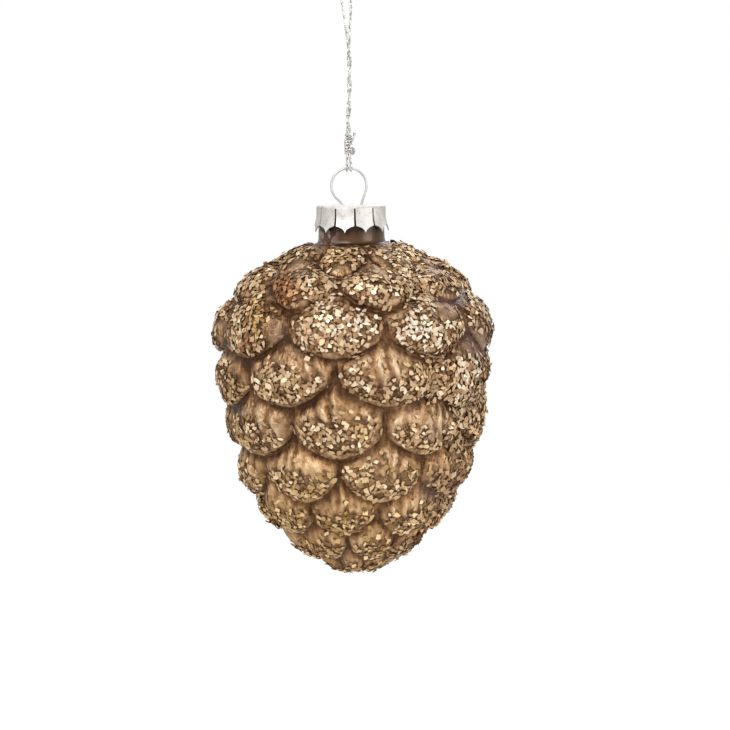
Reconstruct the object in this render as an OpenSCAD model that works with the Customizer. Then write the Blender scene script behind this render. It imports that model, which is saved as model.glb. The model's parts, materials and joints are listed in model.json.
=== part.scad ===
// Blown glass cone ornament with a stamped crown cap, a sprung wire ring and its thread.
// Millimetres. The origin is the inner top of the wire ring, where the thread bears.
// Z is up along the ornament, the front faces -Y.

/* [Glass cone] */
// Height of the cone from the foot of its neck to its lower tip
cone_height = 89.6; // [60:0.5:140]
// Width of the cone across its fullest scales
cone_width = 76; // [50:1:120]
// How far the scales stand out from the body
scale_depth = 3; // [1:0.1:6]
// Thickness of the blown wall
glass_wall = 1; // [0.8:0.1:2.5]

/* [Scales] */
// Rows of scales from neck to tip
scale_rows = 8; // [5:1:11]
// Scales round each row
scales_round = 8; // [5:1:12]
// How far the sides of a scale climb above its point, in rows
side_climb = 0.46; // [0.24:0.02:0.6]
// How much that climb varies from one meeting of two scales to the next
climb_change = 0.2; // [0:0.02:0.2]
// Shape of the lower edge, low is pointed and high is blunt
edge_shape = 1.7; // [1.2:0.1:4]
// Turn of the first row from the front, in degrees
first_turn = -7.9; // [-45:0.1:45]
// Unevenness of the hand-blown scales, in rows
unevenness = 0.05; // [0:0.01:0.12]
// Height of the soft lumps and dents on the scales
lump_height = 0.3; // [0:0.05:0.6]

/* [Mica coat] */
// How thick the stuck-on chips lie where the coat is full
mica_coat = 0.35; // [0:0.05:0.8]
// Rows from the top that are coated nearly all over
coated_rows = 3; // [0:1:8]
// How far the coat climbs on the other scales, as a share of their height
coat_climb = 0.5; // [0.2:0.05:0.9]

/* [Neck] */
// Outside width of the neck
neck_width = 18.2; // [12:0.1:24]
// Height of the neck above its foot
neck_height = 10; // [6:0.1:16]

/* [Cap] */
// Thickness of the cap sheet
cap_sheet = 0.3; // [0.2:0.05:0.6]
// Height of the cap from its top to its points
cap_height = 7; // [5:0.1:9]
// Room between the neck and the straight part of the cap
cap_room = 0.1; // [0.05:0.01:0.3]
// Points cut round the cap
cap_points = 11; // [6:1:16]
// Width of the slits between the points
slit_width = 0.45; // [0.2:0.05:0.8]
// How far the points flare out
point_flare = 0.85; // [0:0.05:1.5]
// Turn of one slit from the front, in degrees
slit_turn = 6.3; // [-16:0.1:16]

/* [Wire ring] */
// Thickness of the spring wire
wire_width = 0.65; // [0.4:0.05:1.2]
// Inside width of the ring
ring_inside = 9; // [6:0.1:14]
// How far the body sits to the right of the ring's middle
ring_shift = 0.5; // [0:0.1:1]
// Room between the wire and its holes in the cap
hole_room = 0.1; // [0.05:0.05:0.4]

/* [Thread] */
// Thickness of one strand of the thread
thread_width = 0.65; // [0.4:0.05:1]
// Turns the two strands take round each other
strand_turns = 2; // [1:1:5]
// Width of the knot
knot_width = 2.3; // [2:0.1:4]

/* [Hidden] */
$fa = 6;
$fs = 0.3;
seat_gap = 0.02;
tie_gap = 0.05;

// Levels
cap_top = -(ring_inside + 0.8);
neck_top = cap_top - cap_sheet - seat_gap;
neck_foot = neck_top - neck_height;
neck_radius = neck_width / 2;

// Plain body under the scales: a share of the half width at a share of the height
body_radius = cone_width / 2 - scale_depth;
body_shares = [[0.432, 0.032], [0.788, 0.125], [0.965, 0.225], [1, 0.345], [0.93, 0.52],
    [0.815, 0.7], [0.56, 0.86], [0.25, 0.968]];
foot_flare = 0.5;
rim_round = 0.45;
body_stations = concat(
    [[neck_radius + foot_flare, 0]],
    [for (p = body_shares) [p[0] * body_radius, p[1] * cone_height]],
    [[0, cone_height]]);
last_station = len(body_stations) - 1;
curve_steps = 12;

function mirrored(p) = [-p[0], p[1]];
function station(i) = i < 0 ? 2 * body_stations[0] - body_stations[1]
    : i > last_station ? mirrored(body_stations[last_station - 1])
    : body_stations[i];
function blend(a, b, c, d, t) = 0.5 * (2 * b + (c - a) * t
    + (2 * a - 5 * b + 4 * c - d) * t * t
    + (3 * b - a - 3 * c + d) * t * t * t);
body_curve = concat(
    [for (i = [0 : last_station - 1]) for (j = [0 : curve_steps - 1])
        blend(station(i - 1), station(i), station(i + 1), station(i + 2), j / curve_steps)],
    [body_stations[last_station]]);
curve_count = len(body_curve);
curve_along = [for (i = 0, s = 0; i < curve_count;
    s = i + 1 < curve_count ? s + norm(body_curve[i + 1] - body_curve[i]) : s, i = i + 1) s];
curve_length = curve_along[curve_count - 1];
radius_along = [for (i = [0 : curve_count - 1]) [curve_along[i], body_curve[i][0]]];
drop_along = [for (i = [0 : curve_count - 1]) [curve_along[i], body_curve[i][1]]];
slope_reach = 0.5;

// Radius and drop below the neck foot at a distance along the body
function body_at(s) = [lookup(s, radius_along), lookup(s, drop_along)];
// Outward direction there, as radius and drop
function out_at(s) =
    let (a = body_at(min(s + slope_reach, curve_length)), b = body_at(max(s - slope_reach, 0)),
        g = (a - b) / norm(a - b))
    [g[1], -g[0]];

// Rows are closer at the neck and at the tip
row_taper = 0.1355;
row_skew = -0.0695;
function row_place(rho) = let (x = rho / (scale_rows + 1))
    curve_length * (x + row_taper * x * (1 - x) + row_skew * x * (1 - x) * (1 - 2 * x));

// The scales: every row is turned half a scale from the one above
pitch = 360 / scales_round;
first_drop = 0.2; // the first row's points reach this much of a row further down
function row_turn(k) = first_turn + (k % 2) * pitch / 2;
function cell(theta, k) = floor((theta - row_turn(k)) / pitch + 0.5);
function across(theta, k) = 2 * ((theta - row_turn(k)) / pitch - cell(theta, k));
function whole(i) = (i % scales_round + scales_round) % scales_round;
function wave(k, i, n) = sin(97 * k + 151 * whole(i) + 60 * n);
function climb(k, i) = side_climb + climb_change * sin(116 * k * k + 203 * k + 195 * whole(i) + 204);
function low_edge(theta, k) =
    k >= scale_rows ? scale_rows + 1
    : let (a = across(theta, k), i = cell(theta, k) + (a > 0 ? 1 : 0))
        k + 1 - climb(k, i) * pow(abs(a), edge_shape)
            + (unevenness * wave(k, cell(theta, k), 0) + (k == 0 ? first_drop : 0)) * (1 - a * a);
function high_edge(theta, k) = k == 0 ? 0 : low_edge(theta, k - 1);

lip_reach = 0.4;
lip_round = 2.2;
crown_start = 0.5;
crown_round = 0.6;
flank_round = 5;
inner_flank = 2;
inner_follow = 0.65;
first_depth = 0.75;
depth_change = 0.12;
function lip(d) = let (x = min(d / lip_reach, 1))
    pow(1 - pow(1 - x, lip_round), 1 / lip_round);
function soft_lip(d) = let (x = min(d / (lip_reach * 1.15), 1)) x * x * (3 - 2 * x);
function crown(t) = pow(0.5 + 0.5 * cos(180 * max(0, (t - crown_start) / (1 - crown_start))), crown_round);
function flank(a, inside) = 1 - pow(abs(a), inside == 1 ? inner_flank : flank_round);
function row_depth(k) = scale_depth * (k == 0 ? first_depth : 1);

// Lumps and dents round the body, s is in millimetres along it
function lump(theta, s) = (sin(3 * theta + 17.8 * s) + sin(5 * theta - 13.2 * s + 57)
    + 0.7 * sin(9 * theta + 29.8 * s + 115) + 0.5 * sin(14 * theta - 40.1 * s)) / 3;

// How full the mica lies at a share t of the way up a scale, and at a across it
function ease(low, high, x) = let (v = min(max((x - low) / (high - low), 0), 1)) v * v * (3 - 2 * v);
function mica_cover(a, k, t) =
    let (full = k < coated_rows, climb = full ? 0.8 : coat_climb, wide = full ? 0.88 : 0.72)
    ease(0, 0.04, t) * (1 - ease(climb, climb + 0.2, t)) * (1 - ease(wide, wide + 0.16, abs(a)));

// A point of the outer (inside = 0) or inner (inside = 1) face of the glass. The inner face is
// smoother, as blown glass is, so the wall is thinnest in the grooves. The coat is on the outer one
function glass_point(theta, k, t, inside) =
    let (lo = low_edge(theta, k), hi = high_edge(theta, k), s = row_place(lo - t * (lo - hi)),
        p = body_at(s), g = out_at(s), a = across(theta, k), d = t * (lo - hi),
        edge = k >= scale_rows ? 1 : inside == 1 ? soft_lip(d) : lip(d),
        small = pow(min(p[0] / body_radius, 1), 0.5),
        share = small * edge * crown(t) * flank(a, inside),
        rise = row_depth(k) * share * (1 + depth_change * wave(k, cell(theta, k), 1)),
        h = inside == 1 ? inner_follow * rise - glass_wall - 0.1
            : rise + lump_height * lump(theta, s) * share + mica_coat * mica_cover(a, k, t),
        r = max(p[0] + h * g[0], 0.2))
    [r * sin(theta), -r * cos(theta), neck_foot - p[1] - h * g[1]];
function round_point(theta, r, z) = [r * sin(theta), -r * cos(theta), z];

outer_columns = scales_round * 10;
inner_columns = outer_columns / 2;
outer_steps = [0.74, 0.5, 0.28, 0.13, 0.045, 0];
inner_steps = [0.66, 0.3, 0];
function outer_theta(j) = row_turn(0) + j * 360 / outer_columns;
function inner_theta(j) = row_turn(0) + j * 360 / inner_columns;

outer_rows = concat(
    [for (k = [0 : scale_rows - 1]) for (t = outer_steps) [k, t]],
    [for (t = [0.75, 0.5, 0.25]) [scale_rows, t]]);
inner_rows = concat(
    [for (k = [0 : scale_rows - 1]) for (t = inner_steps) [k, t]],
    [[scale_rows, 0.6]]);
outer_rings = concat(
    [[for (j = [0 : outer_columns - 1]) round_point(outer_theta(j), neck_radius - rim_round, neck_top)],
     [for (j = [0 : outer_columns - 1]) round_point(outer_theta(j), neck_radius, neck_top - rim_round)],
     [for (j = [0 : outer_columns - 1]) round_point(outer_theta(j), neck_radius, neck_foot + 1)],
     [for (j = [0 : outer_columns - 1]) round_point(outer_theta(j), neck_radius + foot_flare, neck_foot)]],
    [for (q = outer_rows) [for (j = [0 : outer_columns - 1]) glass_point(outer_theta(j), q[0], q[1], 0)]]);
inner_rings = concat(
    [[for (j = [0 : inner_columns - 1]) round_point(inner_theta(j), neck_radius - glass_wall, neck_top)],
     [for (j = [0 : inner_columns - 1])
        round_point(inner_theta(j), neck_radius - glass_wall, neck_foot - glass_wall * 0.7)]],
    [for (q = inner_rows) [for (j = [0 : inner_columns - 1]) glass_point(inner_theta(j), q[0], q[1], 1)]]);
outer_count = len(outer_rings);
inner_count = len(inner_rings);
outer_tip = outer_count * outer_columns;
inner_start = outer_tip + 1;
inner_tip = inner_start + inner_count * inner_columns;
shell_points = concat(
    [for (g = outer_rings) each g], [[0, 0, neck_foot - cone_height]],
    [for (g = inner_rings) each g], [[0, 0, neck_foot - cone_height + glass_wall]]);
function outer_at(i, j) = i * outer_columns + j % outer_columns;
function inner_at(i, j) = inner_start + i * inner_columns + j % inner_columns;
shell_faces = concat(
    [for (i = [0 : outer_count - 2]) for (j = [0 : outer_columns - 1])
        each [[outer_at(i, j), outer_at(i, j + 1), outer_at(i + 1, j)],
            [outer_at(i, j + 1), outer_at(i + 1, j + 1), outer_at(i + 1, j)]]],
    [for (j = [0 : outer_columns - 1])
        [outer_at(outer_count - 1, j), outer_at(outer_count - 1, j + 1), outer_tip]],
    [for (i = [0 : inner_count - 2]) for (j = [0 : inner_columns - 1])
        each [[inner_at(i, j), inner_at(i + 1, j), inner_at(i, j + 1)],
            [inner_at(i, j + 1), inner_at(i + 1, j), inner_at(i + 1, j + 1)]]],
    [for (j = [0 : inner_columns - 1])
        [inner_at(inner_count - 1, j + 1), inner_at(inner_count - 1, j), inner_tip]],
    [for (j = [0 : inner_columns - 1])
        each [[inner_at(0, j), outer_at(0, 2 * j + 1), outer_at(0, 2 * j)],
            [inner_at(0, j), inner_at(0, j + 1), outer_at(0, 2 * j + 1)],
            [inner_at(0, j + 1), outer_at(0, 2 * j + 2), outer_at(0, 2 * j + 1)]]]);

// Cap profile, from the middle of the top out and down to the points
cap_inside = neck_radius + cap_room;
cap_outside = cap_inside + cap_sheet;
cap_bottom = cap_top - cap_height;
shoulder = 0.5;
flare_start = cap_top - cap_height * 0.62;
slit_top = cap_top - cap_height * 0.075;
arch_top = cap_top - cap_height * 0.76;
slit_step = 360 / cap_points;

// Wire holes and route, from the body's axis
left_leg = -2.35;
right_leg = 2.85;
ring_radius = (ring_inside + wire_width) / 2;
ring_middle = -ring_inside / 2;
leg_reach = neck_radius - glass_wall - wire_width / 2 - 0.25;
leg_end = neck_foot + 1.5;
left_join = 221;
right_join = 341;
ring_turns = 24;
ring_arc = [for (i = [0 : ring_turns])
    let (b = left_join - i * (left_join + 360 - right_join) / ring_turns)
    [ring_radius * cos(b) - ring_shift, 0, ring_middle + ring_radius * sin(b)]];
wire_route = concat(
    [[-leg_reach, 0, leg_end], [-leg_reach * 0.8, 0, leg_end + 3.4],
        [left_leg * 1.15, 0, cap_top - 2.6], [left_leg, 0, cap_top - 1.2], [left_leg, 0, cap_top + 0.15]],
    ring_arc,
    [[right_leg, 0, cap_top + 0.15], [right_leg, 0, cap_top - 1.2], [right_leg * 1.15, 0, cap_top - 2.6],
        [leg_reach * 0.8, 0, leg_end + 3.4], [leg_reach, 0, leg_end]]);

// Thread: the middle of the pair from the knot up to where the strands part
knot_low = 3.8;
knot_high = 10;
part_high = 36;
pair_route = [[10, 0.2], [13, 0], [18, 0.4], [23, 0.6], [28, 0.7], [32, 0.6], [36, 0.5]];
strand_reach = thread_width / 2 + seat_gap;
strand_rings = 20;
function pair_point(z, side) = let (b = 360 * strand_turns * (part_high - z) / (part_high - knot_high))
    [lookup(z, pair_route) + side * strand_reach * cos(b), side * strand_reach * sin(b), z];
function strand(side) = [for (i = [0 : strand_rings])
    pair_point(knot_high + 2 * tie_gap + (part_high - knot_high - 2 * tie_gap) * i / strand_rings, side)];
left_rise = [[-0.1, 0, 38], [-0.5, 0, 41], [-0.9, 0, 44], [-1.3, 0, 47], [-1.6, 0, 50]];
right_rise = [[0.9, 0, 38], [1.1, 0, 41], [1.3, 0, 44], [1.4, 0, 47], [1.5, 0, 50]];
top_turn = [[-1.5, 0, 52], [-0.9, 0, 53.3], [0, 0, 53.8], [0.9, 0, 53.3], [1.4, 0, 52]];
function backward(p) = [for (i = [len(p) - 1 : -1 : 0]) p[i]];
thread_route = concat(strand(-1), left_rise, top_turn, backward(right_rise), backward(strand(1)));

// Knot: two loops under the ring, a lump and two short tails
loop_reach = wire_width / 2 + thread_width / 2 + tie_gap;
function ring_height(x) = ring_middle + sqrt(ring_radius * ring_radius - x * x);
function loop_route(x, top_x) = concat(
    [[top_x, -0.5, knot_low + 0.6], [x, -loop_reach * 0.95, 2.6]],
    [for (b = [200 : 20 : 340]) [x, loop_reach * cos(b), ring_height(x) + loop_reach * sin(b)]],
    [[x, loop_reach * 0.95, 2.6], [top_x, 0.5, knot_low + 0.6]]);
knot_middle = 0.05;
lump_route = [for (h = [0, 0.2, 1, 2.2, 3.6, 5]) [knot_middle, 0, knot_low + h]];
lump_shares = [0.5, 0.66, 0.86, 1, 0.88, 0.72, 0.58];
tail_route = [[0.6, -0.3, 7.2], [1.1, -0.5, 8.2], [1.3, -0.6, 9.1], [1.8, -0.6, 9.9]];
tail_loop = [[0.5, -0.6, 5.9], [1.3, -0.7, 6], [1.75, -0.6, 5.5], [1.55, -0.4, 4.8], [0.7, -0.3, 4.5]];

// A round tube along a route, one closed solid
function unit(v) = v / norm(v);
function heading(p, i) = unit(p[min(i + 1, len(p) - 1)] - p[max(i - 1, 0)]);
function square_to(v, g) = unit(v - (v * g) * g);
function side_vectors(p, start) = [for (i = 0, v = square_to(start, heading(p, 0)); i < len(p);
    i = i + 1, v = i < len(p) ? square_to(v, heading(p, i)) : v) v];
function width_at(width, i) = is_list(width) ? width[i] : width;
module tube(p, width, sides, start) {
    v = side_vectors(p, start);
    n = len(p);
    rings = [for (i = [0 : n - 1]) let (g = heading(p, i), w = cross(g, v[i]))
        [for (j = [0 : sides - 1])
            p[i] + width_at(width, i) / 2 * (cos(360 * j / sides) * v[i] + sin(360 * j / sides) * w)]];
    polyhedron(
        points = [for (g = rings) each g],
        faces = concat(
            [[for (j = [0 : sides - 1]) j]],
            [[for (j = [sides - 1 : -1 : 0]) (n - 1) * sides + j]],
            [for (i = [0 : n - 2]) for (j = [0 : sides - 1])
                each [[i * sides + j, (i + 1) * sides + j, i * sides + (j + 1) % sides],
                    [i * sides + (j + 1) % sides, (i + 1) * sides + j, (i + 1) * sides + (j + 1) % sides]]]));
}

module cone_shell() {
    color([0.55, 0.4, 0.25])
    translate([ring_shift, 0, 0])
    polyhedron(points = shell_points, faces = shell_faces);
}

module cap_sheet_round() {
    rotate_extrude($fn = 88)
    polygon([[0, cap_top], [cap_outside - shoulder, cap_top], [cap_outside - shoulder * 0.35, cap_top - shoulder * 0.12],
        [cap_outside - shoulder * 0.08, cap_top - shoulder * 0.42], [cap_outside, cap_top - shoulder],
        [cap_outside, flare_start], [cap_outside + point_flare * 0.35, cap_bottom + 1.1],
        [cap_outside + point_flare, cap_bottom],
        [cap_inside + point_flare, cap_bottom], [cap_inside + point_flare * 0.35, cap_bottom + 1.1],
        [cap_inside, flare_start], [cap_inside, cap_top - shoulder],
        [cap_inside - shoulder * 0.2, cap_top - cap_sheet - shoulder * 0.22],
        [cap_inside - shoulder * 0.5, cap_top - cap_sheet], [0, cap_top - cap_sheet]]);
}

module cap_slit() {
    half = (cap_outside + point_flare) * 180 * 3.1416 / 180 / cap_points;
    rotate([90, 0, 0])
    translate([0, 0, cap_inside * 0.75])
    linear_extrude(height = cap_outside)
    polygon([[-slit_width * 0.3, slit_top], [slit_width * 0.3, slit_top], [slit_width * 0.6, arch_top],
        [half * 0.42, arch_top - 0.2], [half * 0.68, arch_top - 0.65], [half * 0.96, cap_bottom + 0.1],
        [half * 0.99, cap_bottom - 1],
        [-half * 0.99, cap_bottom - 1], [-half * 0.96, cap_bottom + 0.1], [-half * 0.68, arch_top - 0.65],
        [-half * 0.42, arch_top - 0.2], [-slit_width * 0.6, arch_top]]);
}

module crown_cap() {
    color([0.86, 0.86, 0.85])
    translate([ring_shift, 0, 0])
    difference() {
        cap_sheet_round();
        for (i = [0 : cap_points - 1])
            rotate([0, 0, slit_turn + i * slit_step])
            cap_slit();
        for (x = [left_leg, right_leg])
            translate([x, 0, cap_top - 2])
            cylinder(d = wire_width + 2 * hole_room, h = 3, $fn = 24);
    }
}

module wire_hanger() {
    color([0.8, 0.8, 0.8])
    translate([ring_shift, 0, 0])
    tube(wire_route, wire_width, 8, [0, 1, 0]);
}

module hanging_thread() {
    color([0.62, 0.62, 0.62])
    tube(thread_route, thread_width, 8, [0, 1, 0]);
}

module thread_knot() {
    color([0.62, 0.62, 0.62])
    union() {
        tube(concat(lump_route, [[knot_middle, 0, knot_high]]), knot_width * lump_shares, 14, [1, 0, 0]);
        tube(loop_route(-0.45, -0.1), thread_width, 8, [1, 0, 0]);
        tube(loop_route(0.6, 0.7), thread_width, 8, [1, 0, 0]);
        tube(tail_route, thread_width, 8, [0, 1, 0]);
        tube(tail_loop, thread_width, 8, [0, 1, 0]);
    }
}

cone_shell();
crown_cap();
wire_hanger();
hanging_thread();
thread_knot();
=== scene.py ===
import json
import math
import bpy
import numpy as np
from mathutils import Matrix, Vector
from mathutils.geometry import delaunay_2d_cdt

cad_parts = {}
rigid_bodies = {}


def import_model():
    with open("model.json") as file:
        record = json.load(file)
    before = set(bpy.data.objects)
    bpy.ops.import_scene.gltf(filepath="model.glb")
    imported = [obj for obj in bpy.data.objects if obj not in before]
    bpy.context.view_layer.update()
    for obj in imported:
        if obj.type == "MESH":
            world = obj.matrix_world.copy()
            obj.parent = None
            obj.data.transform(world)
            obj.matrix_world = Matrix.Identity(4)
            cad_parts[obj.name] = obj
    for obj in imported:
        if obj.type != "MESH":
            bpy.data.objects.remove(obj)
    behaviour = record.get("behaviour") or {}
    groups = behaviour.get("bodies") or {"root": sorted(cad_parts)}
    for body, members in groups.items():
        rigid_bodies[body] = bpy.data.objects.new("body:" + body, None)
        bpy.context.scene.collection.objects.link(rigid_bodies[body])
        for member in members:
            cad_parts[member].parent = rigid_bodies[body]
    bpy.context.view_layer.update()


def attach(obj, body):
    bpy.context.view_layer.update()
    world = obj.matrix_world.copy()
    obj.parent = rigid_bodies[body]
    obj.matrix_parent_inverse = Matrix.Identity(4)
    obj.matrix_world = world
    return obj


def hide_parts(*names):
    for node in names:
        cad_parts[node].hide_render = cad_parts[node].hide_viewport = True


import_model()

mm = 0.001


# maths on nodes as plain expressions: wraps one output socket
class Wire:
    def __init__(self, tree, socket):
        self.tree, self.socket = tree, socket

    def maths(self, operation, *values, clamp=False):
        settings = {"operation": operation, "use_clamp": clamp}
        return self.tree.node("ShaderNodeMath", settings, dict(enumerate(values)))

    def __add__(self, other):
        return self.maths("ADD", self, other)

    def __radd__(self, other):
        return self.maths("ADD", other, self)

    def __sub__(self, other):
        return self.maths("SUBTRACT", self, other)

    def __rsub__(self, other):
        return self.maths("SUBTRACT", other, self)

    def __mul__(self, other):
        return self.maths("MULTIPLY", self, other)

    def __rmul__(self, other):
        return self.maths("MULTIPLY", other, self)

    def __rtruediv__(self, other):
        return self.maths("DIVIDE", other, self)

    def clamped(self):
        return self.maths("ADD", self, 0.0, clamp=True)


# one node tree
class Tree:
    def __init__(self, tree):
        self.nodes, self.links = tree.nodes, tree.links
        self.nodes.clear()

    def node(self, kind, settings=None, sockets=None, out=0):
        made = self.nodes.new(kind)
        for name, value in (settings or {}).items():
            if name == "stops":
                self.fillRamp(made.color_ramp, value)
            else:
                setattr(made, name, value)
        for name, value in (sockets or {}).items():
            if isinstance(value, Wire):
                self.links.new(value.socket, made.inputs[name])
            else:
                made.inputs[name].default_value = value
        return Wire(self, made.outputs[out]) if made.outputs else None

    def fillRamp(self, ramp, stops):
        while len(ramp.elements) < len(stops):
            ramp.elements.new(0.5)
        for element, (place, colour) in zip(ramp.elements, stops):
            element.position = place
            element.color = (*colour, 1)


# one material, or the world
class Paint(Tree):
    def __init__(self, name, store=bpy.data.materials):
        self.owner = store.new(name)
        self.owner.use_nodes = True
        super().__init__(self.owner.node_tree)

    def where(self):
        return self.node("ShaderNodeTexCoord", out="Object")

    def attribute(self, name):
        return self.node("ShaderNodeAttribute", {"attribute_name": name}, out="Fac")

    def split(self, vector, part):
        return self.node("ShaderNodeSeparateXYZ", None, {"Vector": vector}, out=part)

    def noise(self, place, scale, detail, roughness):
        sockets = {"Vector": place, "Scale": scale, "Detail": detail, "Roughness": roughness}
        return self.node("ShaderNodeTexNoise", None, sockets)

    def span(self, value, low, high, toLow=0.0, toHigh=1.0):
        sockets = {"Value": value, "From Min": low, "From Max": high, "To Min": toLow, "To Max": toHigh}
        return self.node("ShaderNodeMapRange", {"interpolation_type": "SMOOTHSTEP"}, sockets)

    def mix(self, factor, first, second, blend="MIX"):
        colour = lambda c: c if isinstance(c, Wire) else (*c, 1)
        settings = {"data_type": "RGBA", "blend_type": blend}
        return self.node("ShaderNodeMix", settings, {0: factor, 6: colour(first), 7: colour(second)}, out=2)

    def ramp(self, factor, stops):
        return self.node("ShaderNodeValToRGB", {"stops": stops}, {"Fac": factor})

    def bump(self, height, distance, strength, under=None):
        sockets = {"Height": height, "Distance": distance, "Strength": strength}
        if under:
            sockets["Normal"] = under
        return self.node("ShaderNodeBump", None, sockets)

    def shader(self, **sockets):
        named = {name.replace("_", " "): value for name, value in sockets.items()}
        return self.node("ShaderNodeBsdfPrincipled", None, named)

    def finish(self, shader):
        self.node("ShaderNodeOutputMaterial", None, {"Surface": shader})
        return self.owner


# one Geometry Nodes tree, with named inputs that each have a kind and a value
class Grower(Tree):
    def __init__(self, name, inputs):
        self.group = bpy.data.node_groups.new(name, "GeometryNodeTree")
        super().__init__(self.group)
        face = self.group.interface
        face.new_socket("Geometry", in_out="INPUT", socket_type="NodeSocketGeometry")
        self.values = {}
        for label, (kind, value) in inputs.items():
            socket = face.new_socket(label, in_out="INPUT", socket_type="NodeSocket" + kind)
            self.values[socket.identifier] = value
        face.new_socket("Geometry", in_out="OUTPUT", socket_type="NodeSocketGeometry")
        self.start = self.nodes.new("NodeGroupInput")

    def given(self, label):
        return Wire(self, self.start.outputs[label])

    def attribute(self, name):
        return self.node("GeometryNodeInputNamedAttribute", {"data_type": "FLOAT"}, {"Name": name})

    def close(self, geometry, material):
        whole = self.node("GeometryNodeRealizeInstances", None, {"Geometry": geometry})
        painted = self.node("GeometryNodeSetMaterial", None, {"Geometry": whole, "Material": material})
        self.node("NodeGroupOutput", None, {0: painted})

    def apply(self, source, name):
        modifier = source.modifiers.new(name, "NODES")
        modifier.node_group = self.group
        for identifier, value in self.values.items():
            modifier[identifier] = value
        mesh = finalMesh(source)
        source.modifiers.remove(modifier)
        mesh.name = name
        return addObject(name, mesh)


def addObject(name, data):
    made = bpy.data.objects.new(name, data)
    bpy.context.scene.collection.objects.link(made)
    return made


def finalMesh(piece):
    graph = bpy.context.evaluated_depsgraph_get()
    return bpy.data.meshes.new_from_object(piece.evaluated_get(graph))


def makeMesh(name, points, faces, smooth=True):
    mesh = bpy.data.meshes.new(name)
    mesh.from_pydata([tuple(p) for p in points], [], [tuple(f) for f in faces])
    mesh.polygons.foreach_set("use_smooth", [smooth] * len(mesh.polygons))
    mesh.update()
    return mesh


def addMesh(name, points, faces, smooth=True):
    return addObject(name, makeMesh(name, points, faces, smooth))


def addAttribute(mesh, name, values, domain="POINT"):
    layer = mesh.attributes.new(name, "FLOAT", domain)
    layer.data.foreach_set("value", np.asarray(values, dtype=np.float32))


def smoothStep(low, high, x):
    t = np.clip((x - low) / (high - low), 0, 1)
    return t * t * (3 - 2 * t)


# the camera, fitted to the photograph
view = {
    "target": (0.00364, 0.0, -0.05385),
    "distance": 1.2,
    "across": 0.20075,     # what the frame spans at the object
    "above": 4.8,          # degrees above level
    "roll": 0.9,           # the ornament hangs a little askew
}


def makeCamera():
    above, roll = math.radians(view["above"]), math.radians(view["roll"])
    toward = Vector((0, math.cos(above), -math.sin(above)))
    side, top = Vector((1, 0, 0)), Vector((0, math.sin(above), math.cos(above)))
    right = side * math.cos(roll) - top * math.sin(roll)
    upward = side * math.sin(roll) + top * math.cos(roll)
    lens = bpy.data.cameras.new("viewCamera")
    lens.sensor_width = 36
    lens.lens = 36 * view["distance"] / view["across"]
    lens.clip_start, lens.clip_end = 0.05, 20
    camera = addObject("viewCamera", lens)
    turn = Matrix((right, upward, -toward)).transposed()
    place = Vector(view["target"]) - toward * view["distance"]
    camera.matrix_world = Matrix.Translation(place) @ turn.to_4x4()
    bpy.context.scene.camera = camera


makeCamera()
print("camera set")


# a smooth line through given points; after is the point that it would go on to
def smoothLine(points, each, after=None):
    p = np.asarray(points, float)
    after = 2 * p[-1] - p[-2] if after is None else after
    p = np.vstack([2 * p[0] - p[1], p, after])
    line = []
    for a, b, c, d in zip(p[:-3], p[1:-2], p[2:-1], p[3:]):
        for t in np.arange(each) / each:
            line.append(0.5 * (2 * b + (c - a) * t + (2 * a - 5 * b + 4 * c - d) * t * t
                               + (3 * b - a - 3 * c + d) * t ** 3))
    return np.array(line + [p[-2]])


def distances(line):
    return np.concatenate([[0], np.cumsum(np.linalg.norm(np.diff(line, axis=0), axis=1))])


def evenLine(line, step):
    along = distances(line)
    at = np.linspace(0, along[-1], max(int(along[-1] / step), 2) + 1)
    return np.stack([np.interp(at, along, line[:, i]) for i in range(3)], axis=1)


def lineFrames(line, first):
    heading = np.gradient(line, axis=0)
    heading /= np.linalg.norm(heading, axis=1)[:, None]
    side = np.asarray(first, float)
    sides = []
    for h in heading:
        side = side - h * (side @ h)
        side /= np.linalg.norm(side)
        sides.append(side)
    sides = np.array(sides)
    return sides, np.cross(heading, sides)


# faces between rings of points that lie one after another
def ringFaces(rings, around, start=0):
    faces = []
    for i in range(rings - 1):
        for j in range(around):
            a, b = start + i * around + j, start + i * around + (j + 1) % around
            faces.append((a, a + around, b + around, b))
    return faces


def tube(line, radius, around):
    sides, tops = lineFrames(line, (0, 1, 0))
    radii = np.broadcast_to(radius, len(line))
    angle = np.arange(around) * math.tau / around
    ring = (np.cos(angle)[None, :, None] * sides[:, None]
            + np.sin(angle)[None, :, None] * tops[:, None])
    points = (line[:, None] + ring * radii[:, None, None]).reshape(-1, 3)
    faces = [(a, d, c, b) for a, b, c, d in ringFaces(len(line), around)]
    last = (len(line) - 1) * around
    return points, faces + [tuple(reversed(range(around))), tuple(range(last, last + around))]


def joined(parts):
    points, faces, start = [], [], 0
    for p, f in parts:
        points.append(p)
        faces += [tuple(start + i for i in face) for face in f]
        start += len(p)
    return np.vstack(points), faces


# what several pieces share, in millimetres from the ring's inner top, with the front at -y
shared = {
    "axis": 0.5,           # the body's axis stands this far right of the ring's middle
    "ringInside": 9.0,
    "wireWidth": 0.65,
    "capTop": -9.8,
    "knotHigh": 10.0,
}
ringRadius = (shared["ringInside"] + shared["wireWidth"]) / 2

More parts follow.
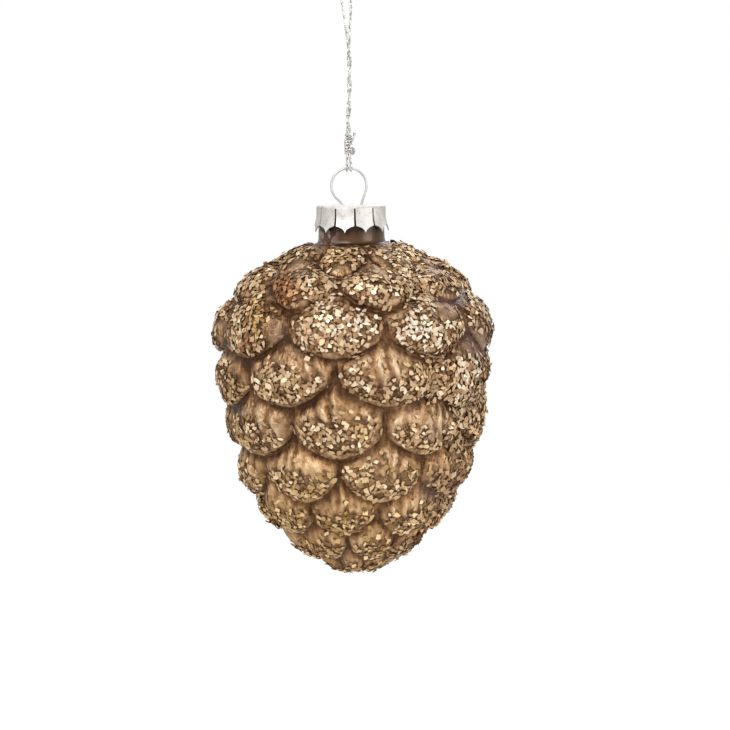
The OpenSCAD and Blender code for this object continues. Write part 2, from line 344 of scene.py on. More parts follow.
# the thread's route is the solid's own
thread = {
    "width": 0.65,
    "plyWidth": 0.38,
    "plyReach": 0.17,
    "plySides": 7,
    "layLength": 3.5,      # one full turn of the plies
    "ringStep": 0.22,
    "swell": 0.12,
    "swellRate": 5.1,
    "lineSteps": 4,
    "strandTurns": 2,
    "pairReach": 0.345,
    "partHigh": 36.0,
    "start": 10.1,
    "rings": 20,
    "pairRoute": [(10, 0.2), (13, 0), (18, 0.4), (23, 0.6), (28, 0.7), (32, 0.6), (36, 0.5)],
    "loop": [(-0.1, 0, 38), (-0.5, 0, 41), (-0.9, 0, 44), (-1.3, 0, 47), (-1.6, 0, 50), (-1.5, 0, 52),
             (-0.9, 0, 53.3), (0, 0, 53.8), (0.9, 0, 53.3), (1.4, 0, 52), (1.5, 0, 50), (1.4, 0, 47),
             (1.3, 0, 44), (1.1, 0, 41), (0.9, 0, 38)],
}


# two plies laid round each other along a line
def pliedThread(line, phase=0.0):
    line = evenLine(line, thread["ringStep"])
    sides, tops = lineFrames(line, (0, 1, 0.02))
    along = distances(line)
    parts = []
    for ply in (0, 1):
        angle = math.tau * along / thread["layLength"] + math.pi * ply + phase
        lean = (np.cos(angle)[:, None] * sides + np.sin(angle)[:, None] * tops) * thread["plyReach"]
        swell = 1 + thread["swell"] * np.sin(along * thread["swellRate"] + 2 * ply + phase)
        parts.append(tube(line + lean, thread["plyWidth"] / 2 * swell, thread["plySides"]))
    return joined(parts)


def strand(side):
    low, high = shared["knotHigh"], thread["partHigh"]
    z = np.linspace(thread["start"], high, thread["rings"] + 1)
    turn = math.tau * thread["strandTurns"] * (high - z) / (high - low)
    middle = np.interp(z, *zip(*thread["pairRoute"]))
    reach = side * thread["pairReach"]
    return np.stack([middle + reach * np.cos(turn), reach * np.sin(turn), z], axis=1).tolist()


def makeThread():
    line = smoothLine(strand(-1) + thread["loop"] + strand(1)[::-1], thread["lineSteps"])
    points, faces = pliedThread(line)
    return addMesh("hangingThread", points * mm, faces), line


knot = {
    "low": 3.6,
    "gap": 0.05,
    "wraps": 6.4,
    "wrapPoints": 56,
    "wrapReach": 0.78,
    "belly": (0.62, 0.55, 0.12),       # shares of the reach: at the ends, the belly and the ripple
    "crossed": (0.82, -0.82, 1),       # the second wraps, turned back over the first
    "crossRise": 0.35,
    "ringLoops": [(-0.42, -0.25), (0.6, 0.2)],     # x of each turn at the ring and at the knot
    "loopLevels": (5.2, 3.9, 2.2),
    "lineSteps": 5,
    # points set to the photograph's knot
    "strands": [[(-0.3, 0.1, 3.6), (-0.2, -0.1, 6), (-0.3, 0.1, 8), (-0.2, 0, 10)],
                [(0.3, -0.1, 3.6), (0.3, 0.1, 6), (0.2, -0.1, 8), (0.4, 0, 10)]],
    "tail": [(0.5, -0.4, 6.6), (0.9, -0.6, 7.4), (1.25, -0.6, 8.2), (1.5, -0.6, 9.0), (1.75, -0.6, 9.9)],
    "sideLoop": [(0.2, -0.5, 6.2), (0.9, -0.7, 6.3), (1.45, -0.7, 5.9), (1.7, -0.6, 5.2),
                 (1.55, -0.5, 4.5), (1.1, -0.55, 4.2), (0.8, -0.8, 4.8), (1.05, -0.85, 5.6),
                 (1.35, -0.6, 5.2), (1.0, -0.5, 4.5), (0.5, -0.5, 4.2)],
}


# one turn of thread from the knot down through the ring and up again
def ringLoop(x, topX):
    ringHigh = -shared["ringInside"] / 2 + math.sqrt(ringRadius ** 2 - x ** 2)
    reach = shared["wireWidth"] / 2 + thread["width"] / 2 + knot["gap"]
    top, bend, foot = knot["loopLevels"]
    bendX, footY = topX * 0.6 + x * 0.4, reach * 0.98
    turn = np.radians(np.arange(190, 351, 16))     # under the wire, from its front to its back
    under = [(x, reach * math.cos(a), ringHigh + reach * math.sin(a)) for a in turn]
    return ([(topX, -0.4, top), (bendX, -0.5, bend), (x, -footY, foot)] + under
            + [(x, footY, foot), (bendX, 0.5, bend), (topX, 0.4, top)])


def makeKnot():
    low, high, (least, belly, ripple) = knot["low"], shared["knotHigh"], knot["belly"]
    t = np.linspace(0, 1, knot["wrapPoints"])
    turn = math.tau * knot["wraps"] * t + 0.7
    share = least + belly * np.sin(math.pi * (0.12 + 0.8 * t)) + ripple * np.sin(turn * 0.7)
    reach = knot["wrapReach"] * share
    level = low + 0.5 + (high - low - 1.2) * t
    wrap = np.stack([reach * np.cos(turn), reach * np.sin(turn), level], axis=1)
    cross = wrap[::-1] * knot["crossed"] + (0, 0, knot["crossRise"])
    loops = [ringLoop(x, topX) for x, topX in knot["ringLoops"]]
    lines = [wrap, cross, *loops, *knot["strands"], knot["tail"], knot["sideLoop"]]
    parts = [pliedThread(smoothLine(line, knot["lineSteps"]), 1.3 * i) for i, line in enumerate(lines)]
    points, faces = joined(parts)
    return addMesh("threadKnot", points * mm, faces)


def paintThread():
    paint = Paint("silverThread")
    place = paint.where()
    fine = paint.noise(place, 2600, 4, 0.7)
    spark = paint.noise(place, 900, 2, 0.6)
    # bright and dark spots in the tone are the metal thread's mixed fibres and also painted glints
    tone = paint.span(fine * 0.6 + spark * 0.4, 0.36, 0.64)
    colour = paint.ramp(tone, [(0, (0.17, 0.165, 0.16)), (0.3, (0.36, 0.35, 0.34)),
                               (0.7, (0.62, 0.61, 0.585)), (1, (0.86, 0.85, 0.82))])
    return paint.finish(paint.shader(Base_Color=colour, Metallic=0.5, Roughness=0.45,
                                     Normal=paint.bump(fine, 0.00012, 0.5)))


threadPiece, threadLine = makeThread()
knotPiece = makeKnot()
silverThread = paintThread()
for piece in (threadPiece, knotPiece):
    piece.data.materials.append(silverThread)
    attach(piece, "root")
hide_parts("hanging_thread")
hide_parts("thread_knot")

wire = {
    "leftLeg": -2.35,
    "rightLeg": 2.85,
    "legReach": 7.525,
    "legEnd": -18.62,
    "leftJoin": 221,
    "rightJoin": 341,
    "kneeShare": 0.8,      # the leg's knee inside the neck: share of its reach, and its rise
    "kneeRise": 3.4,
    "throat": [(1.15, 2.6), (1, 1.2), (1, -0.15)],     # share of the leg's x, and below the cap's top
    "ringPoints": 25,
    "lineSteps": 4,
    "around": 16,
}


def makeWire():
    middle = -shared["ringInside"] / 2
    angles = np.radians(np.linspace(wire["leftJoin"], wire["rightJoin"] - 360, wire["ringPoints"]))
    arc = [(ringRadius * math.cos(a) - shared["axis"], 0, middle + ringRadius * math.sin(a))
           for a in angles]
    end, reach = wire["legEnd"], wire["legReach"]

    def leg(x, side):
        knee = (side * reach * wire["kneeShare"], 0, end + wire["kneeRise"])
        rise = [(x * share, 0, shared["capTop"] - below) for share, below in wire["throat"]]
        return [(side * reach, 0, end), knee] + rise

    route = leg(wire["leftLeg"], -1) + arc + leg(wire["rightLeg"], 1)[::-1]
    line = smoothLine(route, wire["lineSteps"])
    line[:, 0] += shared["axis"]
    points, faces = tube(line, shared["wireWidth"] / 2, wire["around"])
    return addMesh("springWire", points * mm, faces)


def paintWire():
    paint = Paint("springSteel")
    place = paint.where()
    drawn = paint.noise(place, 700, 3, 0.6)
    colour = paint.mix(paint.span(drawn, 0.35, 0.7), (0.45, 0.45, 0.44), (0.57, 0.57, 0.56))
    rough = paint.span(drawn, 0.3, 0.7, 0.5, 0.62)
    return paint.finish(paint.shader(Base_Color=colour, Metallic=0.9, Roughness=rough,
                                     Normal=paint.bump(drawn, 0.00002, 0.3)))


wirePiece = makeWire()
wirePiece.data.materials.append(paintWire())
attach(wirePiece, "root")
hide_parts("wire_hanger")
print("wire ring made")

cap = {
    "height": 7.0,
    "outside": 9.5,
    "sheet": 0.3,
    "shoulder": 0.5,
    "points": 11,
    "slitTurn": 6.3,
    "slitTop": 0.075,      # shares of the height
    "archTop": 0.76,
    "slitWidth": 0.58,
    "flare": 0.85,
    "across": 14,
    "tongueRows": (0, 0.08, 0.2, 0.35, 0.5, 0.62, 0.7, 0.725, 0.745, 0.77, 0.8, 0.84, 0.88, 0.92, 0.96, 1),
    "holeWidth": 0.85,
    "holePoints": 20,
    "discWidth": 11.0,
    "discRings": [(0.9, 8), (1.8, 18), (2.7, 26), (3.6, 36), (4.6, 60)],       # radius and points
    "domeRings": (6.2, 7.2, 8.0),
    "dome": 0.06,
    "lean": 0.03,          # how far a tongue may be bent by itself, in radians
    "sharpAngle": 38,
}


# the flat of the cap round its two wire holes
def capDisc(columns):
    def circle(x, radius, count):
        turn = np.arange(count) * math.tau / count
        return [(x + radius * math.sin(v), -radius * math.cos(v)) for v in turn]

    def fromHole(x, y):
        return min(math.hypot(x - hole, y) for hole in holes)

    holes = (wire["leftLeg"], wire["rightLeg"])
    points = circle(0, cap["discWidth"] / 2, columns)
    for x in holes:
        points += circle(x, cap["holeWidth"] / 2, cap["holePoints"])
    for radius, count in cap["discRings"]:
        points += [q for q in circle(0, radius, count) if fromHole(*q) > cap["holeWidth"] * 0.75]
    made = delaunay_2d_cdt([Vector(q) for q in points], [], [list(range(columns))], 1, 1e-5)
    flat, faces = made[0], made[2]
    centres = [(sum(flat[i][0] for i in f) / 3, sum(flat[i][1] for i in f) / 3) for f in faces]
    return flat, [f for f, q in zip(faces, centres) if fromHole(*q) > cap["holeWidth"] / 2 * 0.97]


# radius and height of the cap's top and shoulder, from the disc's edge out and down
def capProfile():
    out, top, bend = cap["outside"], shared["capTop"], cap["shoulder"]
    dome = [(r, capHigh(r)) for r in (cap["discWidth"] / 2, *cap["domeRings"], out - bend)]
    curve = [(out - bend * (1 - math.sin(v)), top - bend * (1 - math.cos(v)))
             for v in np.radians([20, 40, 60, 78, 90])]
    return dome + curve + [(out, top - cap["height"] * cap["slitTop"])]


def capHigh(r):
    return shared["capTop"] + cap["dome"] * (1 - (r / cap["outside"]) ** 2)


def makeCapTop():
    columns = cap["points"] * cap["across"]
    flat, faces = capDisc(columns)
    points = [(x, y, capHigh(math.hypot(x, y))) for x, y in flat]
    profile, angle = capProfile(), np.arange(columns) * math.tau / columns
    start = len(points)
    for r, z in profile:
        points += [(r * math.sin(v), -r * math.cos(v), z) for v in angle]
    return addMesh("capTop", points, faces + ringFaces(len(profile), columns, start))


# one pointed tongue, which growCap sets round the top; v is 0 at the slit's top and 1 at the tip
def makeTongue():
    half = math.pi / cap["points"]
    rows, n = cap["tongueRows"], cap["across"] - 1
    high = shared["capTop"] - cap["height"] * cap["slitTop"]
    tall = cap["height"] * (1 - cap["slitTop"])
    arch = (cap["archTop"] - cap["slitTop"]) / (1 - cap["slitTop"])
    points, faces = [], []
    for v in rows:
        # the slit opens downwards, then the sides close in an arch while the tip stands out
        gap = cap["slitWidth"] / 2 / cap["outside"] * (0.75 + 0.45 * v)
        bite = 0 if v <= arch else (1 - ((1 - v) / (1 - arch)) ** 1.7)
        wide = (half - gap) * (1 - 0.97 * bite ** 0.62) if bite else half - gap
        flare = cap["flare"] * smoothStep(0.35, 1.15, v) * 1.15
        for j in range(n):
            a = wide * (2 * j / (n - 1) - 1)
            flat = 1 + (1 / math.cos(a) - 1) * min(1, v * 1.3)
            r = (cap["outside"] + flare) * flat - 0.1 * math.sin(v * math.pi) * (a / half) ** 2
            points.append((r * math.sin(a), -r * math.cos(a), high - tall * v))
    for i in range(len(rows) - 1):
        for j in range(n - 1):
            a = i * n + j
            faces.append((a, a + n, a + n + 1, a + 1))
    return addMesh("capTongue", points, faces)


def growCap(top, tongue, material):
    grower = Grower("crownTongues", {
        "Tongue": ("Object", tongue), "Count": ("Int", cap["points"]), "Lean": ("Float", cap["lean"]),
        "Turn": ("Float", math.radians(cap["slitTurn"]) + math.pi / cap["points"]), "Seed": ("Int", 4)})
    given = grower.given
    line = grower.node("GeometryNodeMeshLine", None, {"Count": given("Count"), "Offset": (0, 0, 0)})
    angle = grower.node("GeometryNodeInputIndex") * (math.tau / given("Count")) + given("Turn")
    lean = grower.node("FunctionNodeRandomValue", {"data_type": "FLOAT"},
                       {2: given("Lean") * -1.0, 3: given("Lean"), "Seed": given("Seed")}, out=1)
    turn = grower.node("ShaderNodeCombineXYZ", None, {"Z": angle})
    rotation = grower.node("FunctionNodeEulerToRotation", None, {0: turn})
    shape = grower.node("GeometryNodeObjectInfo", None, {"Object": given("Tongue")}, out=4)
    skirt = grower.node("GeometryNodeInstanceOnPoints", None,
                        {"Points": line, "Instance": shape, "Rotation": rotation})
    tip = grower.node("ShaderNodeCombineXYZ", None, {"X": lean})
    pivot = (0, -cap["outside"], shared["capTop"] - cap["height"] * 0.3)
    bent = grower.node("GeometryNodeRotateInstances", None,
                       {"Instances": skirt, "Rotation": tip, "Pivot Point": pivot, "Local Space": True})
    both = grower.node("GeometryNodeJoinGeometry", None, {0: given("Geometry")})
    grower.links.new(bent.socket, both.socket.node.inputs[0])
    merged = grower.node("GeometryNodeRealizeInstances", None, {"Geometry": both})
    welded = grower.node("GeometryNodeMergeByDistance", None, {"Geometry": merged, "Distance": 0.03})
    grower.close(welded, material)
    return grower.apply(top, "crownCap")


def paintCap():
    paint = Paint("stampedCap")
    place = paint.where()
    cloudy = paint.noise(place, 260, 4, 0.6)
    dented = paint.noise(place, 620, 3, 0.6)
    rolled = paint.noise(place, 1700, 3, 0.7)
    colour = paint.mix(paint.span(cloudy, 0.35, 0.65), (0.53, 0.505, 0.475), (0.65, 0.625, 0.6))
    colour = paint.mix(paint.span(dented, 0.52, 0.68) * 0.5, colour, (0.36, 0.335, 0.31))
    rough = paint.span(cloudy, 0.3, 0.7, 0.52, 0.68)
    bump = paint.bump(rolled, 0.00006, 0.4, paint.bump(dented, 0.0003, 0.5))
    return paint.finish(paint.shader(Base_Color=colour, Metallic=0.6, Roughness=rough, Normal=bump,
                                     Specular_IOR_Level=0.3))


def makeCap():
    top, tongue = makeCapTop(), makeTongue()
    made = growCap(top, tongue, paintCap())
    for leftover in (top, tongue):
        bpy.data.objects.remove(leftover)
    made.data.transform(Matrix.Scale(mm, 4) @ Matrix.Translation((shared["axis"], 0, 0)))
    sheet = made.modifiers.new("sheet", "SOLIDIFY")
    sheet.thickness, sheet.offset = cap["sheet"] * mm, -1
    mesh = finalMesh(made)
    made.modifiers.clear()
    made.data = mesh
    mesh.polygons.foreach_set("use_smooth", [True] * len(mesh.polygons))
    mesh.set_sharp_from_angle(angle=math.radians(cap["sharpAngle"]))
    return made


capPiece = makeCap()
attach(capPiece, "root")
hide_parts("crown_cap")
print("crown cap made")

cone = {
    "width": 76.0,
    "height": 89.6,
    "depth": 3.0,
    "wall": 1.0,
    "hollow": 1.6,         # from the plain body in to the inner face
    "rows": 8,
    "around": 8,
    "sideClimb": 0.46,
    "climbChange": 0.2,
    "edgeShape": 1.7,
    "firstTurn": -7.9,
    "firstDrop": 0.2,
    "unevenness": 0.05,
    "taper": 0.1355,
    "skew": -0.0695,
    "lipReach": 0.4,
    "lipRound": 2.2,
    "crownStart": 0.5,
    "crownRound": 0.6,
    "flankRound": 5.0,
    "firstDepth": 0.75,
    "depthChange": 0.12,
    "shares": [(0.432, 0.032), (0.788, 0.125), (0.965, 0.225), (1, 0.345), (0.93, 0.52), (0.815, 0.7),
               (0.56, 0.86), (0.25, 0.968)],
    "lineSteps": 12,
    "neckRadius": 9.1,
    "neckTop": -10.12,
    "neckFoot": -20.12,
    "footFlare": 0.5,
    "rimRound": 0.45,
    "waist": 0.1,          # how far the neck draws in halfway down
    "shoulder": 1.3,       # where the neck begins to widen, above its foot
    "innerStart": 1.5,     # along the body's line, from the tip and from the neck's foot
    "innerEnd": 5.0,
    "innerRings": 26,
    "columns": 400,
    "steps": 21,           # rings in each row of scales
    "lipCloseness": 1.55,
    "tipSteps": (0.86, 0.72, 0.58, 0.46, 0.35, 0.25, 0.16, 0.08),
    "fluteDepth": 0.44,
    "fluteRows": (0, 0.45, 1, 1, 1, 1, 1, 0.5, 0.5),
    "flutes": 7.5,         # across one scale
    "lumps": 0.3,
}


# the same lattice of overlapping scales as the solid, at a finer mesh
class ConeForm:
    def __init__(self):
        self.radius = cone["width"] / 2 - cone["depth"]
        foot, high = cone["neckRadius"] + cone["footFlare"], cone["height"]
        stations = [(r * self.radius, d * high) for r, d in cone["shares"]]
        lastRadius, lastDrop = stations[-1]
        self.line = smoothLine([(foot, 0), *stations, (0, high)], cone["lineSteps"], (-lastRadius, lastDrop))
        self.along = distances(self.line)
        self.length = self.along[-1]

    def body(self, s):
        return [np.interp(s, self.along, side) for side in self.line.T]

    def outward(self, s, reach=1.2):
        r1, d1 = self.body(np.minimum(s + reach, self.length))
        r0, d0 = self.body(np.maximum(s - reach, 0))
        size = np.hypot(r1 - r0, d1 - d0)
        return (d1 - d0) / size, -(r1 - r0) / size

    def place(self, rho):
        x = rho / (cone["rows"] + 1)
        return self.length * (x + cone["taper"] * x * (1 - x) + cone["skew"] * x * (1 - x) * (1 - 2 * x))

    def turnOf(self, k):
        return cone["firstTurn"] + (k % 2) * 180 / cone["around"]

    def cell(self, theta, k):
        return np.floor((theta - self.turnOf(k)) * cone["around"] / 360 + 0.5)

    def across(self, theta, k):
        return 2 * ((theta - self.turnOf(k)) * cone["around"] / 360 - self.cell(theta, k))

    # the nth of a scale's own numbers, from -1 to 1
    def wave(self, k, cell, n):
        return np.sin(np.radians(97 * k + 151 * np.mod(cell, cone["around"]) + 60 * n))

    def lowEdge(self, theta, k):
        if not 0 <= k < cone["rows"]:
            return np.full_like(theta, k + 1.0)
        a = self.across(theta, k)
        meeting = np.mod(self.cell(theta, k) + (a > 0), cone["around"])
        turn = np.radians(116 * k * k + 203 * k + 195 * meeting + 204)
        climb = (cone["sideClimb"] + cone["climbChange"] * np.sin(turn)) * np.abs(a) ** cone["edgeShape"]
        uneven = cone["unevenness"] * self.wave(k, self.cell(theta, k), 0)
        uneven = uneven + (cone["firstDrop"] if k == 0 else 0)
        return k + 1 - climb + uneven * (1 - a * a)

    # one ring of points, t of the way up row k from its lower edge
    def ring(self, theta, k, t):
        low, high = self.lowEdge(theta, k), self.lowEdge(theta, k - 1)
        s = self.place(low - t * (low - high))
        r, drop = self.body(s)
        outR, outD = self.outward(s)
        a, down = self.across(theta, k), t * (low - high)
        x = np.minimum(down / cone["lipReach"], 1)
        lip = 1.0 if k >= cone["rows"] else (1 - (1 - x) ** cone["lipRound"]) ** (1 / cone["lipRound"])
        rise = max(0, (t - cone["crownStart"]) / (1 - cone["crownStart"]))
        crown = (0.5 + 0.5 * math.cos(math.pi * rise)) ** cone["crownRound"]
        flank = 1 - np.abs(a) ** cone["flankRound"]
        small = np.minimum(r / self.radius, 1) ** 0.5
        cell = self.cell(theta, k)
        depth = cone["depth"] * (cone["firstDepth"] if k == 0 else 1) * small
        share = lip * crown * flank
        height = depth * share * (1 + cone["depthChange"] * self.wave(k, cell, 1))
        # flutes fade out near a scale's lip, top and sides
        window = smoothStep(0.08, 0.3, t) * (1 - smoothStep(0.82, 0.98, t))
        window = window * (1 - smoothStep(0.62, 0.92, np.abs(a))) * cone["fluteRows"][k]
        sway = (0.07 * np.sin(2.3 * math.pi * t + 3 * self.wave(k, cell, 2))
                + 0.04 * np.sin(6 * a + 5 * self.wave(k, cell, 4)))
        phase = math.pi * cone["flutes"] * (1 + 0.2 * self.wave(k, cell, 5)) * (a + sway)
        patchy = 0.55 + 0.45 * np.sin(5.3 * a + 2.1 * k + 3 * cell + 2.5 * t)
        flute = window * np.cos(phase + 2 * self.wave(k, cell, 3)) * patchy
        angle = np.radians(theta)
        turn = np.radians([17.8 * s, 57 - 13.2 * s, 29.8 * s + 115, -40.1 * s])
        lump = (np.sin(3 * angle + turn[0]) + np.sin(5 * angle + turn[1])
                + 0.7 * np.sin(9 * angle + turn[2]) + 0.5 * np.sin(14 * angle + turn[3])) / 3
        height = height + cone["fluteDepth"] * flute * small + cone["lumps"] * lump * small * share
        radius, level = r + height * outR, cone["neckFoot"] - drop - height * outD
        points = np.stack([radius * np.sin(angle), -radius * np.cos(angle), level], axis=1)
        return points, share, flute, np.full_like(theta, k), a, np.full_like(theta, t)


def makeCone():
    form, columns = ConeForm(), cone["columns"]
    theta = form.turnOf(0) + np.arange(columns) * 360 / columns
    angle = np.radians(theta)
    radius, top, foot = cone["neckRadius"], cone["neckTop"], cone["neckFoot"]
    # the inner face from the tip up, the neck's rim, its outer face and the scales
    inside = []
    for s in np.linspace(form.length - cone["innerStart"], cone["innerEnd"], cone["innerRings"]):
        (r, drop), (outR, outD) = form.body(s), form.outward(s)
        inside.append((r - cone["hollow"] * outR, foot - drop + cone["hollow"] * outD))
    neck = inside + [(radius - cone["wall"], foot - 1), (radius - cone["wall"], top - 0.2),
                     (radius - cone["wall"] + 0.15, top), (radius - cone["rimRound"], top),
                     (radius - 0.12, top - 0.15), (radius, top - cone["rimRound"])]
    neck += [(radius - cone["waist"] * math.sin(math.pi * v), top + v * (foot + cone["shoulder"] - top))
             for v in (0.2, 0.4, 0.6, 0.8, 1.0)]
    neck += [(radius + 0.08, foot + 0.8), (radius + 0.22, foot + 0.4), (radius + 0.42, foot + 0.12)]
    rings, rows = [], []
    for r, z in neck:
        rings.append(np.stack([r * np.sin(angle), -r * np.cos(angle), np.full(columns, z)], axis=1))
        rows.append([np.full(columns, v, float) for v in (0.5, 0, -1, 0, 0)])
    steps = (1 - np.arange(1, cone["steps"] + 1) / cone["steps"]) ** cone["lipCloseness"]
    for k in range(cone["rows"] + 1):
        for t in (steps if k < cone["rows"] else cone["tipSteps"]):
            points, *facts = form.ring(theta, k, float(t))
            rings.append(points)
            rows.append(facts)
    poles = [(0, 0, foot - cone["height"]), (0, 0, foot - cone["height"] + cone["hollow"])]
    points = np.vstack(rings + [poles])
    count = len(rings)
    faces, last = ringFaces(count, columns), (count - 1) * columns
    faces += [(last + j, count * columns, last + (j + 1) % columns) for j in range(columns)]
    faces += [((j + 1) % columns, count * columns + 1, j) for j in range(columns)]
    points[:, 0] += shared["axis"]
    mesh = makeMesh("coneGlass", points * mm, faces)
    facts = [np.concatenate([row[i] for row in rows] + [[0.0, -1.0]]) for i in range(5)]
    share, flute, rowOf, across, down = facts
    cover = micaCover(points, share, rowOf, across, down)
    marks = {"rise": share, "flute": flute, "isNeck": rowOf < -0.5, "micaCover": cover,
             "pileCover": pileCover(points, cover)}
    for name in ("golden", "rusty", "frosted", "shaggy", "smoky"):
        marks[name] = spots(points, mica[name])
    for name, values in marks.items():
        addAttribute(mesh, name, values)
    return addObject("coneGlass", mesh)


mica = {
    "shapes": 7,
    "thick": 0.15,
    # one flake's outline, as shares of its size
    "cornerShift": 0.28,
    "cornerReach": (0.4, 0.62),
    "stretch": (0.86, 1.16),
    "underside": 0.9,
    # each flake's scale, and how much more it leans in the shaggy spots
    "scaleLow": (0.58, 0.58, 0.8),
    "scaleHigh": (1.36, 1.3, 1.3),
    "shaggyLean": 1.8,
    "rowCover": (0.9, 1, 1, 0.95, 0.85, 0.85, 0.85, 0.75, 0.7),
    "rowReach": (0.62, 0.8, 0.8, 0.5, 0.5, 0.5, 0.5, 0.5, 0.5),
    # spots on the front: x and z in millimetres, reach, strength
    "bald": [(-2.5, -27, 3.2, 0.9), (-2, -32, 2.6, 0.85), (7, -26, 4.2, 0.8), (23.5, -25.5, 3.7, 1),
             (-14, -25.5, 3.2, 0.9), (-21, -41.5, 3.8, 0.92), (-35.5, -43.5, 3.4, 0.9),
             (-7.8, -22.5, 1.8, 0.9), (12.5, -36, 3.6, 0.95), (6, -46, 3.4, 0.8), (9, -49.5, 4, 0.85),
             (-6.5, -49, 3, 0.85), (-18.5, -45, 3.8, 0.9), (26, -36.5, 4.6, 0.97), (34.5, -47, 4.6, 1),
             (-30, -29, 2.2, 0.7)],
    "crust": [(-1, -44, 4.5, 1), (18, -42, 5.5, 1), (24, -55, 6.5, 1), (31, -55, 6, 1), (14, -31, 5.5, 1),
              (22, -31, 5.5, 1), (31, -62, 6, 0.9), (-7, -33, 4.5, 0.9), (-28, -32, 4.5, 0.8),
              (30, -76, 5, 0.8), (-26, -93, 5, 0.6), (26, -93, 6, 0.7)],
    "golden": [(-24, -38, 5, 1), (-27, -24, 6, 0.6), (-17, -22, 5, 0.8), (-4, -22, 4, 0.7),
               (20, -21, 5, 0.8), (-10, -100, 16, 0.75), (2, -66, 5, 0.5), (12, -77, 5, 0.6)],
    "rusty": [(-18, -33, 6, 1), (-28, -46, 2.5, 0.7), (8, -53, 3.5, 0.9), (20, -101, 5, 0.8),
              (27, -84, 7, 0.4), (4, -64, 3, 0.7), (10, -43, 2.5, 0.7)],
    # spots where pale painted highlights lie on the flakes
    "frosted": [(-4, -37, 6, 0.5), (4, -38.5, 4.5, 1), (1, -53, 2.8, 1), (19, -42, 8, 0.95),
                (34, -37, 6, 0.5), (32, -50, 6, 0.5)],
    "shaggy": [(26, -90, 9, 1), (18, -100, 8, 0.8), (33, -76, 7, 0.8)],
    "smoky": [(34.5, -47, 5, 0.85), (26, -36.5, 4, 0.5), (23.5, -25.5, 3.4, 0.6), (-20, -42, 3.2, 0.55),
              (25, -87, 7, 0.75), (15, -105, 5, 0.7), (-14, -25.5, 3, 0.7), (33, -63, 4, 0.5),
              (21, -70, 3, 0.6)],
}
# small crumbs lie under the flakes, toned dark partly as crumbs and partly as painted shade in the gaps between
# flakes; spacing and size in millimetres, lift in metres
micaLayers = {
    "micaCrumbs": {"size": 0.95, "spacing": 0.8, "density": 5e6, "corners": 4, "tilt": 0.28,
                   "lift": (0.0, 0.00015), "tones": (0.0, 0.3), "seed": 19, "cover": "micaCover"},
    "micaFlakes": {"size": 1.62, "spacing": 0.98, "density": 3.6e6, "corners": 6, "tilt": 0.27,
                   "lift": (0.00012, 0.00048), "tones": (0.0, 1.0), "seed": 7, "cover": "micaCover"},
    "micaPiles": {"size": 1.5, "spacing": 1.02, "density": 3.4e6, "corners": 6, "tilt": 0.36,
                  "lift": (0.00035, 0.00085), "tones": (0.3, 1.0), "seed": 31, "cover": "pileCover"},
}


# how thickly the mica lies: all over the upper rows, and on the lower half of the others
def micaCover(points, share, rowOf, across, down):
    k = np.clip(rowOf, 0, cone["rows"]).astype(int)
    cover = np.array(mica["rowCover"])[k]
    upper = k <= 2
    x, y, z = points.T
    azimuth = np.degrees(np.arctan2(x, -y))
    right = smoothStep(35, 75, azimuth) * (1 - smoothStep(150, 175, azimuth))
    broad = (np.sin(x * 0.31 + z * 0.22 + 0.6) + np.sin(x * 0.23 - z * 0.37 + y * 0.3)
             + np.sin(y * 0.34 + z * 0.25)) / 3
    ragged = (np.sin(x * 1.1 + z * 1.3) * np.sin(y * 1.2 - z * 0.8 + 1)
              + np.sin(x * 2.3 - z * 1.9 + 2) * np.sin(y * 2.1 + z * 2.6)) / 2
    reach = np.array(mica["rowReach"])[k] + 0.2 * right
    reach = reach + np.where(upper, 0.06, 0.3) * broad + 0.24 * ragged
    inTile = 1 - smoothStep(reach - 0.08, reach + 0.26, down)
    # bare along the lips, while the crust lies across the grooves too
    rim = np.where(upper, 0.02, 0.06) * (1 - right) + 0.05 * broad + 0.05 * ragged
    inTile *= smoothStep(rim, rim + 0.06, down)
    wide = np.where(upper, 0.88, 0.66) + 0.18 * right + 0.16 * broad + 0.12 * ragged
    sides = 1 - smoothStep(wide - 0.06, wide + 0.24, np.abs(across))
    onRise = smoothStep(0.22, 0.6, share)
    crusted = spots(points, mica["crust"]) * smoothStep(-0.25, 0.2, share)
    cover = np.maximum(cover * inTile * sides * onRise, crusted)
    cover = cover * np.clip(0.92 + 0.3 * broad, 0, 1) * (1 - spots(points, mica["bald"]))
    cover[rowOf < -0.5] = 0
    return np.clip(cover + 0.05 * (rowOf > -0.5) * smoothStep(0.1, 0.6, share) * (1 + ragged), 0, 1)


# where the flakes lie on top of each other, in clumps a few millimetres across
def pileCover(points, cover):
    x, y, z = points.T
    clump = np.sin(x * 0.95 + z * 0.4 + 1) * np.sin(z * 1.05 - x * 0.3) * np.cos(y * 0.9 + z * 0.2)
    heaped = np.maximum(spots(points, mica["crust"]), spots(points, mica["shaggy"]))
    piled = 0.85 * smoothStep(-0.1, 0.4, clump) + 0.6 * heaped
    return np.clip(piled, 0, 1) * smoothStep(0.3, 0.8, cover)


def spots(points, places):
    total = np.zeros(len(points))
    for x, z, reach, strength in places:
        away = np.hypot(points[:, 0] - x, points[:, 2] - z) / reach
        total = np.maximum(total, strength * np.exp(-away ** 4) * (points[:, 1] < 0))
    return total


